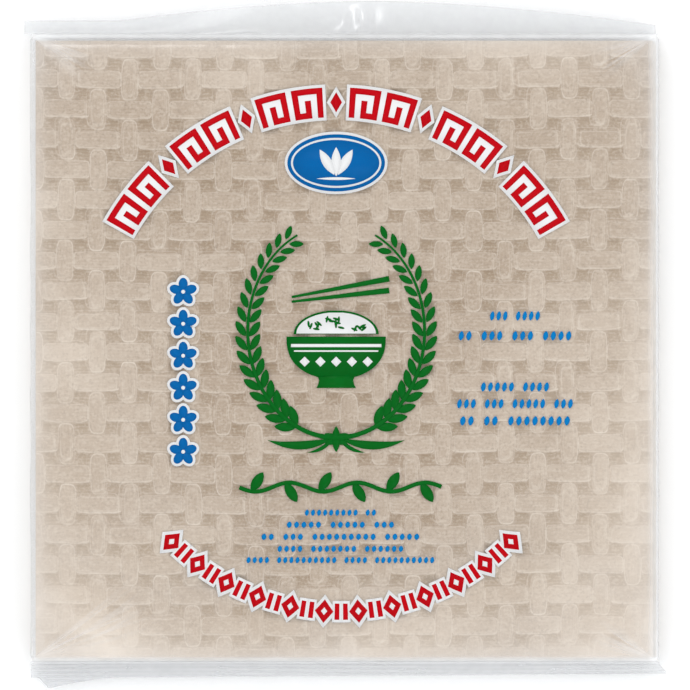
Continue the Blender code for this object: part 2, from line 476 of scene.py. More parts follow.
def veil(x, y, z):
    """How milky the film looks: little where it lies on the sheets, more where it turns over the rim,
    in patches towards the pack's lower end, where the milk is a painted sheen of light that the film
    reflects, in its corners, and most past the ends of the stack, partly milk seen edge-on and partly a
    painted highlight along the film's fold there."""
    inside = np.minimum(HALF_SIDE - np.abs(x), HALF_SIDE - np.abs(y))
    rim = 0.17 * np.exp(-np.clip(inside, 0, 1) / (3.5 * MM)) + 0.25 * smooth((x - HALF_SIDE + 2 * MM) / (3 * MM))
    # painted sheen: milk that rises towards the lower end in place of light the film reflects there
    low = 0.034 * smooth((-30 * MM - y) / (70 * MM))
    bend = np.sin(y / (13 * MM)) + np.sin(x / (17 * MM))
    patches = 1 + np.sin(x / (11 * MM) + bend) * np.sin(y / (8 * MM) + bend)
    corner = np.hypot(HALF_SIDE - np.abs(x), HALF_SIDE - np.abs(y))
    gathered = 0.12 * hump(corner / (16 * MM)) + 0.06 * corner_folds(x, y) / MM
    face = 0.012 + rim + low * patches + gathered
    wall = 0.12 + 0.03 * patches
    on_face = smooth((z - 12.5 * MM) / (4.5 * MM))
    # past the ends: partly milk seen edge-on, partly a painted highlight along the film's fold
    past_end_milk_and_highlight = smooth((np.abs(y) - HALF_SIDE + 0.3 * MM) / (1.3 * MM)) * np.where(y < 0, 0.36, 0.4)
    return np.clip(blend(wall, face, on_face) + past_end_milk_and_highlight, 0, 1)


def film_bag(material):
    upper, lower, fin = film_points()
    rows, half = upper.shape[0], upper.shape[1] - 1
    points = np.concatenate([upper, lower[:, -2:0:-1]], 1)
    total = points.shape[1]
    last = (rows - 1) * total
    faces = [
        grid_faces(rows, total, closed=True),
        *tip_faces(0, half, total, forwards=False),
        *tip_faces(last, half, total, forwards=True),
    ]
    quads = np.concatenate([faces[0], faces[1], faces[3]])
    triangles = np.concatenate([faces[2], faces[4]])
    piece = new_piece("film_bag", points, [quads, triangles], material)
    x, y, z = points[..., 0], points[..., 1], points[..., 2]
    on_fin = np.broadcast_to(fin[:, None], x.shape)
    set_numbers(piece, "fin", on_fin)
    # a fin's milk: partly its own haze, partly painted shade in place of the shaded floor seen through it
    set_numbers(piece, "veil", np.where(on_fin > 0, 0.29 + 0.1 * on_fin, veil(x, y, z)))
    return piece


# ---------------------------------------------------------------- the sheets


def strands(x, y):
    """Counts strands at x and y. The mat isn't quite straight, so both wander by a fraction of one."""
    u = (x - FIRST_STRAND_X) / STRAND_PITCH_X
    v = (y - FIRST_STRAND_Y) / STRAND_PITCH_Y
    wander_u = 0.035 * np.sin(y / (31 * MM) + 1) + 0.02 * np.sin(y / (9 * MM) + x / (41 * MM))
    wander_v = 0.035 * np.sin(x / (37 * MM) + 2) + 0.02 * np.sin(x / (10 * MM) + y / (29 * MM))
    return u + wander_u, v + wander_v


def squeeze(x, y):
    """How much lower the stack is at its rim, where the film pulls it together."""
    rim_x = smooth((np.abs(x) - 103 * MM) / (7 * MM))
    rim_y = smooth((np.abs(y) - 103 * MM) / (7 * MM))
    return 1 - 0.075 * (rim_x + rim_y)


def relief(x, y):
    """Height of the embossed weave over the sheet, fading towards the sheet's plain margin."""
    upright, level, window, _ = weave(*strands(x, y), OnArrays)
    pads = np.maximum(1 - (1 - upright) ** 3, 1 - (1 - level) ** 3)
    inside = np.minimum(HALF_SIDE - np.abs(x), HALF_SIDE - np.abs(y))
    return (0.42 * MM * pads - 0.32 * MM * window) * smooth(inside / (7 * MM))


def film_haze_and_sheen(x, y):
    """How much paler the sheet shows, partly the film's own haze and partly a painted sheen of light that
    the film reflects: 0 in the middle, rising with the square of the way to a side, more so lower down,
    with the fourth power of the way to an end, from two corners to the other two, and once more beside the rim."""
    across, along = x / HALF_SIDE, y / HALF_SIDE
    side = across**2 * (0.24 - 0.2 * np.clip(along, -0.6, 1))
    end = along**4 * np.where(along < 0, 0.27, 0.15)
    inside = np.clip(np.minimum(HALF_SIDE - np.abs(x), HALF_SIDE - np.abs(y)), 0, 1)
    return side + end + 0.045 * across * along + 0.14 * np.exp(-inside / (5 * MM))


def slide(level):
    """How far a sheet has slid in x and y, at its height over the stack's middle. The sheets halfway up
    have slid the most, towards the lower right, by a parabola's rule."""
    share = np.clip(1 - (level / MID_HEIGHT) ** 2, 0, 1)
    return (0.4 + 1.1 * share) * MM, -(0.5 + 0.9 * share) * MM


def outer_sheet(name, material, steps, upwards):
    """The sheet that shows on one side of the pack. Its showing side is a square grid with the weave's
    relief, its edge drops by the sheet's thickness, and its hidden side rises from there to a loop
    further in and is flat inside that."""
    line = np.linspace(-HALF_SIDE, HALF_SIDE, steps + 1)
    y, x = np.meshgrid(line, line, indexing="ij")
    side = 1 if upwards else -1
    plane = MID_HEIGHT - FILM_GAP - 0.45 * MM
    level = (plane + (fullness(x, y) if upwards else 0)) * squeeze(x, y) + relief(x, y)
    edge = 0.12 * MM * np.sin(x / (3.1 * MM) + 1) * np.sin(y / (2.7 * MM))
    rim = (np.abs(x) >= HALF_SIDE) | (np.abs(y) >= HALF_SIDE)
    slid_x, slid_y = slide(MID_HEIGHT)
    shown = np.stack([x + slid_x, y + slid_y, MID_HEIGHT + side * (level + edge * rim)], -1)
    index = np.arange((steps + 1) ** 2).reshape(steps + 1, steps + 1)
    loop = np.concatenate([index[0, :-1], index[:-1, -1], index[-1, :0:-1], index[:0:-1, 0]])
    hidden = shown.reshape(-1, 3)[loop] - [0, 0, side * SHEET_THICKNESS]
    deep = hidden * [0.935, 0.935, 1]
    deep[:, 2] = MID_HEIGHT + side * (plane - 0.42 * MM)
    pole = [[0, 0, deep[0, 2]]]
    points = np.concatenate([shown.reshape(-1, 3), hidden, deep, pole])
    loops = [loop, index.size + np.arange(len(loop)), index.size + len(loop) + np.arange(len(loop))]
    quads = [grid_faces(steps + 1, steps + 1)]
    for outer, inner in zip(loops[:-1], loops[1:]):
        quads.append(np.stack([inner, np.roll(inner, -1), np.roll(outer, -1), outer], -1))
    faces = [np.concatenate(quads), fan_faces(loops[-1], len(points) - 1, upwards=False)]
    if not upwards:
        faces = [part[:, ::-1] for part in faces]
    piece = new_piece(name, points, faces, material)
    set_map(piece, "strands", *strands(points[:, 0], points[:, 1]))
    set_numbers(piece, "film_haze_and_sheen", film_haze_and_sheen(points[:, 0], points[:, 1]))
    return piece


def inner_sheets(name, material, numbers, seed):
    """Sheets inside the stack, of which only the rims show. Each is a closed disc on a square: two
    poles, a lower and an upper rim, and two loops further in. Its rim waves as the weave's does, it
    lies a little askew, and the stack's squeeze lowers its rim."""
    chance = np.random.default_rng(seed)
    per_side = 130
    line = np.linspace(-1, 1, per_side + 1)[:-1]
    ones = np.ones(per_side)
    square = np.concatenate([
        np.stack([line, -ones], -1), np.stack([ones, line], -1),
        np.stack([-line, ones], -1), np.stack([-ones, -line], -1),
    ])
    count, around = len(numbers), len(square)
    shift = chance.uniform(-0.3, 0.3, (count, 1, 1, 2)) * MM
    turn = np.radians(chance.uniform(-0.1, 0.1, (count, 1, 1)))
    phase = chance.uniform(0, 2 * np.pi, (count, 1, 1))
    inset = np.array([0.2, 0, 0, 2.2, 6])[None, :, None] * MM
    reach = HALF_SIDE - 0.1 * MM - inset
    flat = square[None, None] * reach[..., None]
    x = flat[..., 0] * np.cos(turn) - flat[..., 1] * np.sin(turn) + shift[..., 0]
    y = flat[..., 0] * np.sin(turn) + flat[..., 1] * np.cos(turn) + shift[..., 1]
    ragged = 0.12 * MM * np.sin(x / (1.9 * MM) + phase) * np.sin(y / (2.3 * MM) + phase)
    x, y = x + ragged * np.sign(x), y + ragged * np.sign(y)
    level = (np.asarray(numbers)[:, None, None] + 0.5 - SHEET_COUNT / 2) * INNER_RISE
    slid_x, slid_y = slide(level)
    x, y = x + slid_x, y + slid_y
    u, v = strands(x, y)
    wave = 0.085 * MM * (np.cos(np.pi * u + phase) * np.cos(np.pi * v))
    thick = np.array([-0.5, -0.5, 0.5, 0.5, 0.5])[None, :, None] * SHEET_THICKNESS
    fuller = fullness(x, y) * np.clip(level / MID_HEIGHT, 0, 1)
    z = MID_HEIGHT + (level + fuller) * squeeze(x, y) + wave + thick
    discs = np.stack([x, y, z], -1)
    poles = np.stack([discs[:, 0].mean(1), discs[:, -1].mean(1)], 1)
    points = np.concatenate([discs.reshape(count, -1, 3), poles], 1)
    ring = grid_faces(5, around, closed=True)
    start = np.arange(around)
    lower_fan = fan_faces(start, 5 * around, upwards=False)
    upper_fan = fan_faces(start + 4 * around, 5 * around + 1, upwards=True)
    step = (np.arange(count) * (5 * around + 2))[:, None, None]
    quads = (ring[None] + step).reshape(-1, 4)
    triangles = (np.concatenate([lower_fan, upper_fan])[None] + step).reshape(-1, 3)
    return new_piece(name, points, [quads, triangles], material, angle=30)


# ---------------------------------------------------------------- the print on the face


def blade(centre, half_width):
    """The two edges of a band along a middle line, set off from it by the half width on both sides."""
    along = np.gradient(centre, axis=0)
    along /= np.linalg.norm(along, axis=1, keepdims=True)
    aside = np.stack([-along[:, 1], along[:, 0]], -1) * np.reshape(half_width, (-1, 1))
    return np.stack([centre + aside, centre - aside], 1)


def stroke(corners, half_width, spare=0.0, step=0.8 * MM):
    """A band of one width along straight runs, mitred at the corners and longer by spare at its ends."""
    corners = np.array(corners, float)
    runs = np.diff(corners, axis=0)
    runs /= np.linalg.norm(runs, axis=1, keepdims=True)
    corners[0] -= runs[0] * spare
    corners[-1] += runs[-1] * spare
    aside = np.stack([-runs[:, 1], runs[:, 0]], -1)
    before, after = np.vstack([aside[:1], aside]), np.vstack([aside, aside[-1:]])
    mitre = (before + after) / (1 + (before * after).sum(1, keepdims=True))
    edges = np.stack([corners + mitre * half_width, corners - mitre * half_width], 1)
    parts = []
    for first, last in zip(edges[:-1], edges[1:]):
        count = max(1, int(np.linalg.norm(last - first) / 2 / step))
        share = np.linspace(0, 1, count + 1)[:-1, None, None]
        parts.append(blend(first, last, share))
    return np.concatenate([*parts, edges[-1:]])


def oval(x, y, half_length, half_width, turn=0.0, power=0.5, steps=18):
    """A closed round or pointed shape: the half width times a power of 1 less the square of the way
    along. 0.5 gives an ellipse, 1 a pointed grain."""
    way = np.sin(np.linspace(-np.pi / 2, np.pi / 2, steps))
    heading = np.array([math.cos(turn), math.sin(turn)])
    centre = np.array([x, y]) + way[:, None] * half_length * heading
    width = half_width * np.clip(1 - way**2, 0, 1) ** power
    aside = np.array([-heading[1], heading[0]]) * width[:, None]
    return np.stack([centre + aside, centre - aside], 1)


def lozenge(x, y, half_length, half_width, turn=0.0):
    """A diamond: a band whose half width rises evenly to its middle and falls evenly again."""
    way = np.linspace(-1, 1, 9)
    heading = np.array([math.cos(turn), math.sin(turn)])
    centre = np.array([x, y]) + way[:, None] * half_length * heading
    aside = np.array([-heading[1], heading[0]]) * (half_width * (1 - np.abs(way)))[:, None]
    return np.stack([centre + aside, centre - aside], 1)


def on_arc(band, middle, radius, start):
    """Bends a band: its first number becomes the way round the arc and its second the way out of it."""
    angle = start - band[..., 0] / radius
    out = radius + band[..., 1]
    return np.stack([middle[0] + out * np.cos(angle), middle[1] + out * np.sin(angle)], -1)


class Print:
    """Bands gathered by colour and layer, then laid on the film's face."""

    def __init__(self):
        self.bands = {}

    def add(self, colour, layer, *bands):
        self.bands.setdefault((colour, layer), []).extend(bands)

    def pieces(self, materials):
        for (colour, layer), bands in sorted(self.bands.items()):
            yield printed(f"print_{colour}_{layer}", bands, materials[colour], layer)


def printed(name, bands, material, layer):
    """One mesh of all bands of a colour, following the film's face a little above it."""
    sizes = np.array([len(band) for band in bands])
    flat = np.concatenate(bands).reshape(-1, 2)
    stagger = np.repeat(np.arange(len(bands)) % 9 * 0.002 * MM, 2 * sizes)
    height = face_height(flat[:, 0], flat[:, 1]) + (0.05 + 0.035 * layer) * MM + stagger
    start = 2 * np.concatenate([[0], np.cumsum(sizes)[:-1]])
    first = np.concatenate([begin + 2 * np.arange(size - 1) for begin, size in zip(start, sizes)])
    faces = np.stack([first, first + 1, first + 3, first + 2], -1)
    piece = new_piece(name, np.column_stack([flat, height]), [faces], material)
    thicken = piece.modifiers.new("ink", "SOLIDIFY")
    thicken.thickness = 0.02 * MM
    thicken.offset = -1
    return piece


BORDER = 0.95 * MM
TOP_ARC = ((-2.5 * MM, -1.5 * MM), 89 * MM)
LOW_ARC = ((-0.7 * MM, -8.5 * MM), 85.5 * MM)


def fret(unit, mirrored):
    """A square scroll five units wide and high: up, across, down, back and up again to its middle."""
    path = np.array([[-2, -2], [-2, 2], [2, 2], [2, -2], [0, -2], [0, 0]], float) * unit
    return path * [-1, 1] if mirrored else path


def top_band(design):
    """Red scrolls in mirrored pairs along the upper arc, with a diamond between the pairs."""
    unit = 2.14 * MM
    middle, radius = TOP_ARC
    pair, between = 26.3 * MM, 6.4 * MM
    pairs = 6
    length = pairs * pair + (pairs - 1) * between
    start = math.pi / 2 + length / 2 / radius
    for number in range(pairs):
        place = number * (pair + between) + pair / 2
        for side in (-1, 1):
            path = fret(unit, side > 0) + [place + side * 2.95 * unit, 0]
            design.add("red", 1, on_arc(stroke(path, unit / 2, unit / 2), middle, radius, start))
        block = stroke([(place - 5.95 * unit, 0), (place + 5.95 * unit, 0)], 3 * unit)
        design.add("white", 0, on_arc(block, middle, radius, start))
        if number < pairs - 1:
            way = place + pair / 2 + between / 2
            design.add("red", 1, on_arc(lozenge(way, 0, 2.1 * MM, 3.6 * MM), middle, radius, start))
            design.add("white", 0, on_arc(lozenge(way, 0, 3.3 * MM, 5.6 * MM), middle, radius, start))


def low_band(design):
    """Red diamonds along the lower arc, with two short bars between each and the next."""
    middle, radius = LOW_ARC
    pitch, count = 12.2 * MM, 12
    start = -math.pi / 2 + pitch * (count - 1) / 2 / radius

    def lay(colour, layer, band):
        design.add(colour, layer, on_arc(band, middle, radius, start))

    for number in range(count):
        way = number * pitch
        lay("red", 1, lozenge(way, 0, 3.3 * MM, 4.2 * MM))
        lay("white", 0, lozenge(way, 0, 4.7 * MM, 6.0 * MM))
        lay("white", 2, lozenge(way, 0, 1.1 * MM, 1.4 * MM))
        for side in (-1, 1):
            if 0 < number + (side + 1) / 2 < count:
                bar = way + side * (pitch / 2 - 1.5 * MM)
                lay("red", 1, stroke([(bar, -2.9 * MM), (bar, 2.9 * MM)], 0.85 * MM))
                lay("white", 0, stroke([(bar, -2.9 * MM), (bar, 2.9 * MM)], 1.7 * MM, BORDER))


def blue_oval(design):
    """A blue oval with a white ring and three white grains in it."""
    x, y = -2.5 * MM, 65.9 * MM
    wide, high = 17.4 * MM, 10.2 * MM
    design.add("white", 0, oval(x, y, wide + BORDER, high + BORDER, steps=40))
    design.add("blue", 1, oval(x, y, wide, high, steps=40))
    design.add("white", 2, oval(x, y, wide - 1.3 * MM, high - 1.3 * MM, steps=40))
    design.add("blue", 3, oval(x, y, wide - 2.0 * MM, high - 2.0 * MM, steps=40))
    for turn in (60, 90, 120):
        heading = math.radians(turn)
        across, up = math.cos(heading) * 6.5 * MM, math.sin(heading) * 1.2 * MM
        design.add("white", 4, oval(x + across, y + up - 0.8 * MM, 5.2 * MM, 1.7 * MM, heading, power=1))
    design.add("white", 4, oval(x, y - 5.6 * MM, 7 * MM, 0.5 * MM, 0, power=1))


def blossom(design, x, y, size, petals=5):
    """A flower: round petals set in a ring round a white heart."""
    for number in range(petals):
        heading = math.radians(90 + 360 / petals * number)
        out = size * 0.56
        place = (x + math.cos(heading) * out, y + math.sin(heading) * out)
        design.add("blue", 1, oval(*place, size * 0.46, size * 0.33, heading))
        design.add("white", 0, oval(*place, size * 0.46 + BORDER, size * 0.33 + BORDER, heading))
    design.add("blue", 1, oval(x, y, size * 0.3, size * 0.3))
    design.add("white", 2, oval(x, y, size * 0.14, size * 0.14))


def blossom_column(design):
    for number in range(6):
        blossom(design, -57 * MM, 20 * MM - number * 11.4 * MM, 4.9 * MM)


def grain_line(design, x, y, width, height, words):
    """A line of upright grains in groups, centred on x."""
    pitch = height * 0.62
    total = sum(words) + (len(words) - 1)
    pitch = width / total
    place = x - width / 2 + pitch / 2
    for word in words:
        for _ in range(word):
            design.add("sky", 0, oval(place, y, height / 2, pitch * 0.34, math.radians(80), 0.7, steps=9))
            place += pitch
        place += pitch


def grain_lines(design):
    """Lines of small grains right of the middle and below it."""
    for y, width, words in (
        (11.4, 18.5, (3, 4)), (4.3, 41, (2, 3, 3, 4)),
        (-13.9, 25, (5, 4)), (-19.9, 42, (3, 3, 5, 3)), (-26, 40, (2, 2, 8)),
    ):
        grain_line(design, 61.2 * MM, y * MM, width * MM, 3.4 * MM, words)
    for y, width, words in (
        (-58.7, 26, (9, 2)), (-63, 39, (5, 5, 3)), (-67.3, 57, (2, 3, 9, 5)),
        (-71.6, 45.5, (4, 7, 6)), (-75.6, 67.6, (4, 10, 4, 10)),
    ):
        grain_line(design, -1 * MM, y * MM, width * MM, 2.3 * MM, words)


def on_ear(degrees, aside=0.0):
    """A point of the right-hand ear's oval, so far outside it, and the heading of the oval there."""
    angle = np.radians(degrees)
    wide, high = 31.5 * MM, 38 * MM
    point = np.stack([wide * np.cos(angle), high * np.sin(angle)], -1)
    along = np.stack([-wide * np.sin(angle), high * np.cos(angle)], -1)
    along /= np.linalg.norm(along, axis=-1, keepdims=True)
    outwards = np.stack([along[..., 1], -along[..., 0]], -1)
    return point + outwards * aside, np.arctan2(along[..., 1], along[..., 0])


def wreath(design):
    """Two ears of rice that curve up from a knot, one mirroring the other: a stalk on an oval, grains
    on both sides of it that lean forward, and long leaves near its foot."""
    centre = np.array([-2.5 * MM, 6 * MM])

    def lay(layer, colour, band, side):
        design.add(colour, layer, band * [side, 1] + centre)

    stalk, _ = on_ear(np.linspace(-100, 64, 70))
    width = np.linspace(0.9, 0.35, 70) * MM
    for side in (-1, 1):
        lay(2, "green", blade(stalk, width), side)
        for number in range(17):
            turn = -58 + number * 7.4
            for lean, out in ((-34, 2.5 * MM), (34, -2.5 * MM)):
                at, heading = on_ear(turn, out)
                facing = heading + math.radians(lean)
                size = blend(3.8, 2.6, number / 16) * MM
                lay(1, "green", oval(*at, size, size * 0.42, facing, power=0.8), side)
        for droop, bend, length in ((26, 0.75, 24), (58, 0.9, 11)):
            root, heading = on_ear(-88)
            way = np.linspace(0, 1, 24)
            turn = heading - math.radians(droop) + bend * way
            steps = np.stack([np.cos(turn), np.sin(turn)], -1) * length * MM / 24
            line = root + np.cumsum(steps, axis=0)
            spread = 0.062 * length * MM * np.sin(np.pi * way**0.85) + 0.02 * MM
            lay(1, "green", blade(line, spread), side)
    for turn in (-25, 25, 90):
        foot = centre - [0, 38.5 * MM]
        design.add("green", 2, oval(*foot, 4.6 * MM, 1.5 * MM, math.radians(turn), 0.8))


def bowl(design):
    """A round bowl of rice with two sticks above it, inside the wreath."""
    x, y = -2.5 * MM, 4 * MM
    unit = 1.22 * MM

    def sweep(colour, layer, rises, half_widths):
        line = np.stack([np.full(len(rises), x), y + rises * unit], -1)
        design.add(colour, layer, blade(line, half_widths * unit))

    way = np.linspace(0, 0.985, 24)
    sweep("green", 1, -12.5 * way, 14.5 * np.sqrt(1 - way**2.6))
    sweep("green", 1, np.linspace(-11.5, -15, 4), np.array([5.4, 5.0, 5.2, 5.8]))
    sweep("green", 1, 0.7 + 7 * way, 12.4 * np.sqrt(1 - way**2))
    sweep("white", 2, 0.9 + 6.2 * way, 11.6 * np.sqrt(1 - way**2))
    for fall, half_length, half_width in ((2.6, 13.2, 0.45), (4.2, 12.3, 0.22)):
        line = np.stack([x + np.linspace(-1, 1, 20) * half_length * unit, np.full(20, y - fall * unit)], -1)
        design.add("white", 2, blade(line, np.full(20, half_width * unit)))
    for number in range(5):
        place = x + (number - 2) * 4.6 * unit
        design.add("white", 2, lozenge(place, y - 7.3 * unit, 1.5 * unit, 1.5 * unit))
    chance = np.random.default_rng(4)
    for number in range(21):
        across = chance.uniform(-8.8, 8.8)
        top = 5.2 * math.sqrt(1 - (across / 11) ** 2)
        up = chance.uniform(0.15, 0.85) * top + 0.9
        heading = chance.uniform(0, math.pi)
        grain = oval(x + across * unit, y + up * unit, 1.0 * unit, 0.34 * unit, heading, steps=9)
        design.add("green", 3, grain)
    for lift in (0, 3.4):
        first = np.array([x - 13 * unit, y + (10.2 + lift * 0.4) * unit])
        last = np.array([x + 15.5 * unit, y + (13.5 + lift) * unit])
        line = blend(first, last, np.linspace(0, 1, 20)[:, None])
        design.add("green", 1, blade(line, np.linspace(0.35, 0.85, 20) * unit))


def garland(design):
    """A green line that waves, with a leaf in each of its hollows."""
    way = np.linspace(-36, 36, 120) * MM
    swing = 1.6 * MM * np.sin(way / (3.85 * MM))
    line = np.stack([-1 * MM + way, -49.6 * MM + swing], -1)
    design.add("green", 1, blade(line, np.full(120, 0.75 * MM)))
    for number in range(-6, 6):
        crest = (number + 0.5) * math.pi * 3.85 * MM
        if abs(crest) > 35 * MM:
            continue
        side = -1 if number % 2 else 1
        at = (-1 * MM + crest + 0.6 * MM, -49.6 * MM - side * 1.9 * MM)
        heading = math.radians(58 * -side)
        design.add("green", 1, oval(*at, 4.0 * MM, 1.85 * MM, heading, power=0.8))


# ---------------------------------------------------------------- materials


def shader_of(name):
    """A new material with its node tree and its Principled node."""
    material = bpy.data.materials.new(name)
    material.use_nodes = True
    tree = material.node_tree
    return material, tree, tree.nodes["Principled BSDF"]


def noise(tree, scale, detail=3.0, stretch=(1, 1, 1)):
    """A noise field on Object coordinates, scale counting its lumps in a metre."""
    place = tree.nodes.new("ShaderNodeTexCoord")
    mapping = tree.nodes.new("ShaderNodeMapping")
    mapping.inputs["Scale"].default_value = stretch
    texture = tree.nodes.new("ShaderNodeTexNoise")
    texture.inputs["Scale"].default_value = scale
    texture.inputs["Detail"].default_value = detail
    tree.links.new(place.outputs["Object"], mapping.inputs["Vector"])
    tree.links.new(mapping.outputs["Vector"], texture.inputs["Vector"])
    return Field(tree, texture.outputs["Fac"])


def mixed(tree, share, first, last):
    """A colour between two, each a colour's numbers or another mix's socket."""
    mix = tree.nodes.new("ShaderNodeMix")
    mix.data_type = "RGBA"
    tree.links.new(share.socket, mix.inputs["Factor"])
    for name, value in (("A", first), ("B", last)):
        slot = next(each for each in mix.inputs if each.name == name and each.type == "RGBA")
        if isinstance(value, tuple):
            slot.default_value = (*value, 1)
        else:
            tree.links.new(value, slot)
    return next(each for each in mix.outputs if each.type == "RGBA")


def bumped(tree, shader, height, distance, strength=1.0):
    bump = tree.nodes.new("ShaderNodeBump")
    bump.inputs["Distance"].default_value = distance
    bump.inputs["Strength"].default_value = strength
    tree.links.new(height.socket, bump.inputs["Height"])
    tree.links.new(bump.outputs["Normal"], shader.inputs["Normal"])


PAD = (0.378, 0.278, 0.192)
SEAT = (0.348, 0.25, 0.167)
# WINDOW is the windows' own warmer colour and also the painted shade in them
WINDOW = (0.268, 0.174, 0.088)
# LIGHT_LINE is the pads' paler outlines, threads and grain, and also a painted highlight along their lower lips
LIGHT_LINE = (0.66, 0.57, 0.47)
# PALE is random paler clouds and also the painted sheen of the film over the sheet
PALE = (0.85, 0.745, 0.632)
SPECK = (0.2, 0.135, 0.085)


def pad_shade(tree, u, v, upright, level):
    """A random number for each pad: white noise on the strand that it belongs to and the strand that
    it lies over."""
    column, row = OnNodes.nearest(u), OnNodes.nearest(v)
    under = OnNodes.odd(column + row)
    numbers = []
    for first, last in (
        (column, row + under * (v - row).math("SIGN")),
        (column + (1 - under) * (u - column).math("SIGN") + 0.5, row),
    ):
        join = tree.nodes.new("ShaderNodeCombineXYZ")
        tree.links.new(first.socket, join.inputs["X"])
        tree.links.new(last.socket, join.inputs["Y"])
        chance = tree.nodes.new("ShaderNodeTexWhiteNoise")
        chance.noise_dimensions = "2D"
        tree.links.new(join.outputs[0], chance.inputs["Vector"])
        numbers.append(Field(tree, chance.outputs["Value"]))
    on_upright = upright.math("GREATER_THAN", level)
    return numbers[0] * on_upright + numbers[1] * (1 - on_upright)


def woven_paper():
    """Rice paper with the mat's weave: pads with a paler outline and a painted highlight along their lower
    lip, darker windows, partly their own warmer colour and partly painted shade with a painted shadow
    under that lip, the fainter outlines of the sheet below, and fine fibres. The sheet is paler where its
    attribute says so, partly the film's haze and partly a painted sheen of light the film reflects, and
    in clouds."""
    material, tree, shader = shader_of("woven_rice_paper")
    strand_map = tree.nodes.new("ShaderNodeUVMap")
    strand_map.uv_map = "strands"
    parts = tree.nodes.new("ShaderNodeSeparateXYZ")
    tree.links.new(strand_map.outputs["UV"], parts.inputs["Vector"])
    jitter = noise(tree, 260, 2) - 0.5
    patches = noise(tree, 70, 3)
    clouds = OnNodes.unit((noise(tree, 28, 4) - 0.42) * 3.0)
    u = Field(tree, parts.outputs["X"]) + jitter * 0.06
    v = Field(tree, parts.outputs["Y"]) - jitter * 0.06
    upright, level, window, along_level = weave(u, v, OnNodes)
    pad = upright.math("MAXIMUM", level)
    own = pad_shade(tree, u, v, upright, level)
    above = v - v.math("FLOOR")
    # painted shadow: each window darkens towards its top, under the lower lip of the pad above
    lip_shadow = OnNodes.unit((above - 0.36) * 3.2)
    outline = OnNodes.unit(1 - OnNodes.size(pad - 0.2) * 5.5)
    inner_line = OnNodes.unit(1 - OnNodes.size(pad - 0.74) * 7)
    side = v - OnNodes.nearest(v)
    curve = (along_level / LEVEL_REACH) ** 3.0 * 0.07
    # painted highlight: a thin bright line along the lower lip of each level pad
    lip = OnNodes.unit(1 - OnNodes.size(side + 0.282 - curve) * 26) * OnNodes.unit(level * 3)
    ghost_upright, ghost_level, *_ = weave(u + 0.12, v - 0.09, OnNodes)
    ghost = ghost_upright.math("MAXIMUM", ghost_level)
    ghost_outline = OnNodes.unit(1 - OnNodes.size(ghost - 0.25) * 4)
    colour = mixed(tree, OnNodes.unit(pad * 2), SEAT, PAD)
    colour = mixed(tree, OnNodes.unit(pad * 4) * (own * own * 0.1 + clouds * 0.14), colour, PALE)
    # the windows' own warmer colour with painted shade, darkest under the lip, in patches
    window_colour_and_shade = window * (lip_shadow * 0.6 + 0.4) * OnNodes.unit(patches * 2.4 - 0.35)
    colour = mixed(tree, window_colour_and_shade, colour, WINDOW)
    colour = mixed(tree, outline * OnNodes.unit(patches * 2.6 - 0.75), colour, LIGHT_LINE)
    colour = mixed(tree, inner_line * OnNodes.unit(1.9 - patches * 3.2) * 0.55, colour, LIGHT_LINE)
    # the painted highlight along the lower lips
    colour = mixed(tree, lip * OnNodes.unit(1.6 - patches * 2.2), colour, LIGHT_LINE)
    colour = mixed(tree, ghost_outline * OnNodes.unit(1.5 - patches * 2.2) * 0.6, colour, LIGHT_LINE)
    on_upright = upright.math("GREATER_THAN", level)
    across_pad = u * on_upright + v * (1 - on_upright)
    thread = (across_pad * (2 * math.pi * 9.5) + jitter * 9.0).math("SINE") * 0.5 + 0.5
    colour = mixed(tree, thread * OnNodes.unit(patches * 2 - 0.5) * 0.16, colour, LIGHT_LINE)
    fibres = noise(tree, 1100, 3)
    threads = noise(tree, 420, 5, (1, 2.6, 1))
    grain = OnNodes.unit((fibres + threads - 1.0) * 5)
    colour = mixed(tree, grain * 0.3, colour, LIGHT_LINE)
    specks = OnNodes.unit((0.44 - fibres) * 9)
    colour = mixed(tree, specks * 0.32, colour, SPECK)
    # painted sheen: the film's haze and the light it reflects, painted into the sheet's colour as paleness
    paler = tree.nodes.new("ShaderNodeAttribute")
    paler.attribute_name = "film_haze_and_sheen"
    share = OnNodes.unit(Field(tree, paler.outputs["Fac"]) * (clouds * 0.7 + 0.8) + clouds * 0.05)
    colour = mixed(tree, share, colour, PALE)
    tree.links.new(colour, shader.inputs["Base Color"])
    shader.inputs["Roughness"].default_value = 0.62
    bumped(tree, shader, fibres * 0.6 + threads * 0.4, 0.12 * MM, 0.6)
    return material


def paper_rims():
    """The cut edges of the sheets inside: creamy, uneven from sheet to sheet, with flecks."""
    material, tree, shader = shader_of("rice_paper_rims")
    layers = noise(tree, 90, 3, (1, 1, 14))
    flecks = noise(tree, 800, 3)
    colour = mixed(tree, layers, (0.60, 0.50, 0.39), (0.84, 0.76, 0.64))
    colour = mixed(tree, OnNodes.unit((flecks - 0.55) * 3) * 0.5, colour, (0.42, 0.34, 0.26))
    tree.links.new(colour, shader.inputs["Base Color"])
    shader.inputs["Roughness"].default_value = 0.7
    bumped(tree, shader, flecks, 0.1 * MM, 0.5)
    return material


